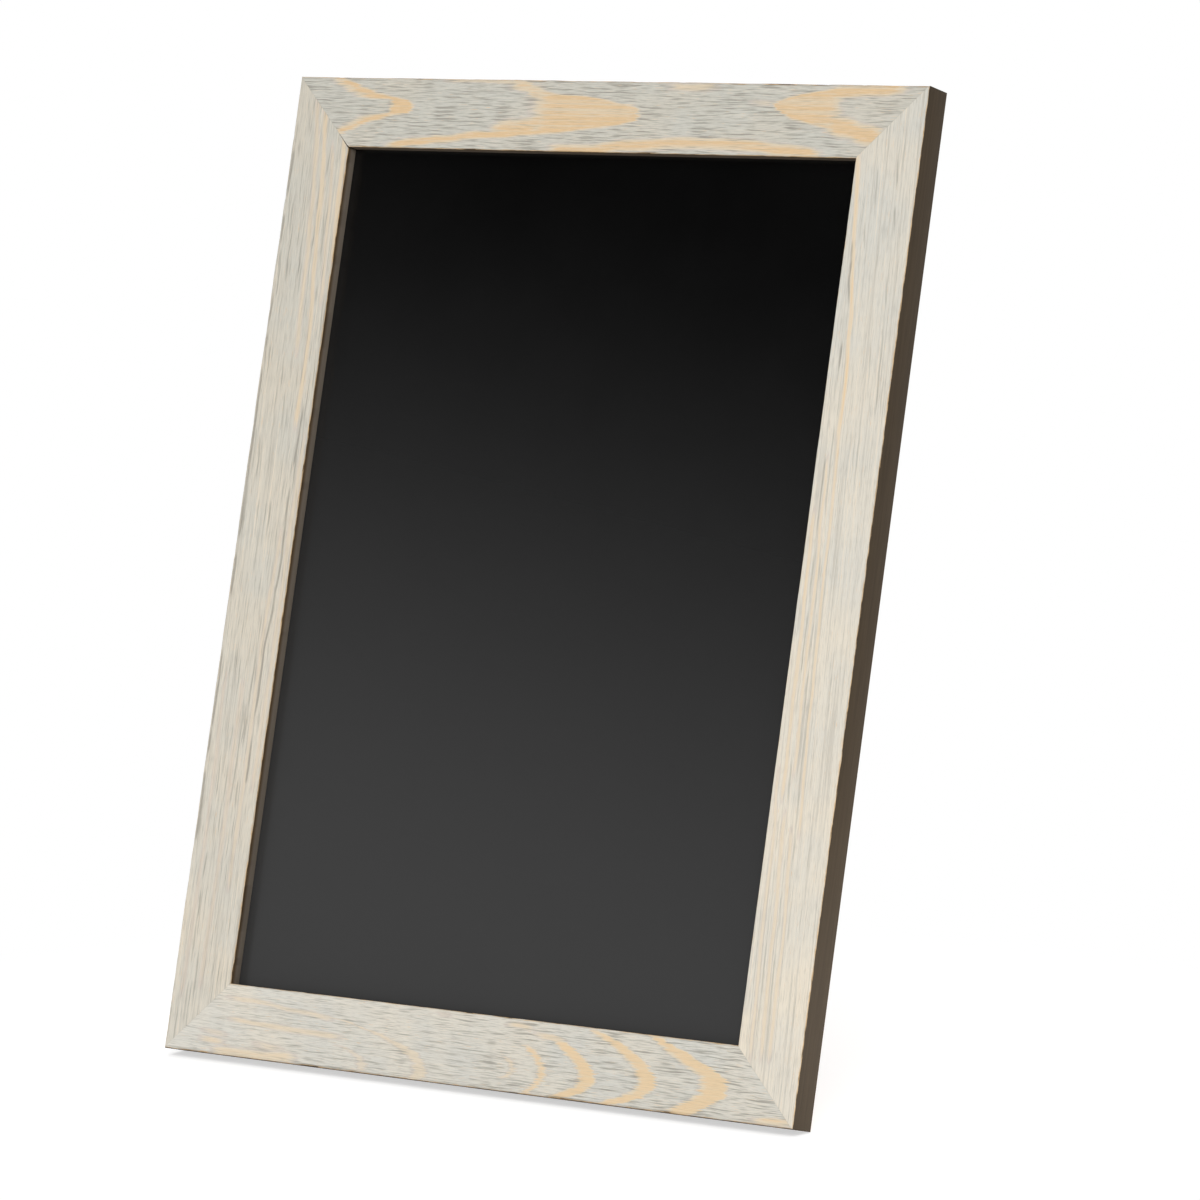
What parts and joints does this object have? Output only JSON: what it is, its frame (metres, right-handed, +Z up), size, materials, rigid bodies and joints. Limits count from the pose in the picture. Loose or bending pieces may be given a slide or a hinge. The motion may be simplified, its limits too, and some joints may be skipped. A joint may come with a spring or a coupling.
{
  "type": "slate writing board",
  "caption": "Standing writing board: a black slate in a mitred frame of weathered pine, leaning back on a hinged easel leg that folds flat, with turn buttons that free the backing.",
  "frame": {"origin": "on the table, at the middle of the standing board's bounding box", "axes": "+Z is up, -Y is the way the writing face looks, +X is to the right for someone who faces the slate"},
  "size_m": [0.26, 0.1158, 0.3397],
  "materials": {
    "weathered_pine": "brushed softwood with a thin grey-white wash on the face and dark brown paint on the sides",
    "slate": "honed flat and smooth, soft satin black",
    "hardboard": "bare pressed hardboard, smooth on the outside",
    "zinc_plate": "bright zinc plated sheet steel",
    "brass_plate": "brass plated steel, lightly worn",
    "bare_steel": "plain steel"
  },
  "bodies": {
    "board": {"bottom_rail": "weathered_pine", "top_rail": "weathered_pine", "left_stile": "weathered_pine", "right_stile": "weathered_pine", "corner_v_nails": "bare_steel", "writing_slate": "slate", "backing_board": "hardboard", "turn_button_screws": "brass_plate", "top_hanger": "zinc_plate", "hanger_nails": "bare_steel", "hinge_fixed_leaf": "zinc_plate", "hinge_fixed_rivets": "bare_steel", "hinge_pin": "bare_steel"},
    "leg": {"easel_leg": "hardboard", "hinge_leg_leaf": "zinc_plate", "hinge_leg_rivets": "bare_steel"},
    "button_left_upper": {"turn_button_left_upper": "brass_plate"},
    "button_left_lower": {"turn_button_left_lower": "brass_plate"},
    "button_right_upper": {"turn_button_right_upper": "brass_plate"},
    "button_right_lower": {"turn_button_right_lower": "brass_plate"},
    "button_top_left": {"turn_button_top_left": "brass_plate"},
    "button_top_right": {"turn_button_top_right": "brass_plate"},
    "button_bottom_left": {"turn_button_bottom_left": "brass_plate"},
    "button_bottom_right": {"turn_button_bottom_right": "brass_plate"}
  },
  "joints": [
    {"name": "leg_hinge", "type": "hinge", "parent": "board", "child": "leg", "pos_m": [0, 0.01171, 0.22772], "axis": [1, 0, 0], "range_deg": [-25, 0]},
    {"name": "button_left_upper_turn", "type": "hinge", "parent": "board", "child": "button_left_upper", "pos_m": [-0.1165, 0.01766, 0.26075], "axis": [0, 0.9711, -0.2385], "continuous": true},
    {"name": "button_left_lower_turn", "type": "hinge", "parent": "board", "child": "button_left_lower", "pos_m": [-0.1165, -0.02766, 0.07623], "axis": [0, 0.9711, -0.2385], "continuous": true},
    {"name": "button_right_upper_turn", "type": "hinge", "parent": "board", "child": "button_right_upper", "pos_m": [0.1165, 0.01766, 0.26075], "axis": [0, 0.9711, -0.2385], "continuous": true},
    {"name": "button_right_lower_turn", "type": "hinge", "parent": "board", "child": "button_right_lower", "pos_m": [0.1165, -0.02766, 0.07623], "axis": [0, 0.9711, -0.2385], "continuous": true},
    {"name": "button_top_left_turn", "type": "hinge", "parent": "board", "child": "button_top_left", "pos_m": [-0.065, 0.03317, 0.32387], "axis": [0, 0.9711, -0.2385], "continuous": true},
    {"name": "button_top_right_turn", "type": "hinge", "parent": "board", "child": "button_top_right", "pos_m": [0.065, 0.03317, 0.32387], "axis": [0, 0.9711, -0.2385], "continuous": true},
    {"name": "button_bottom_left_turn", "type": "hinge", "parent": "board", "child": "button_bottom_left", "pos_m": [-0.065, -0.04316, 0.01311], "axis": [0, 0.9711, -0.2385], "continuous": true},
    {"name": "button_bottom_right_turn", "type": "hinge", "parent": "board", "child": "button_bottom_right", "pos_m": [0.065, -0.04316, 0.01311], "axis": [0, 0.9711, -0.2385], "continuous": true}
  ]
}
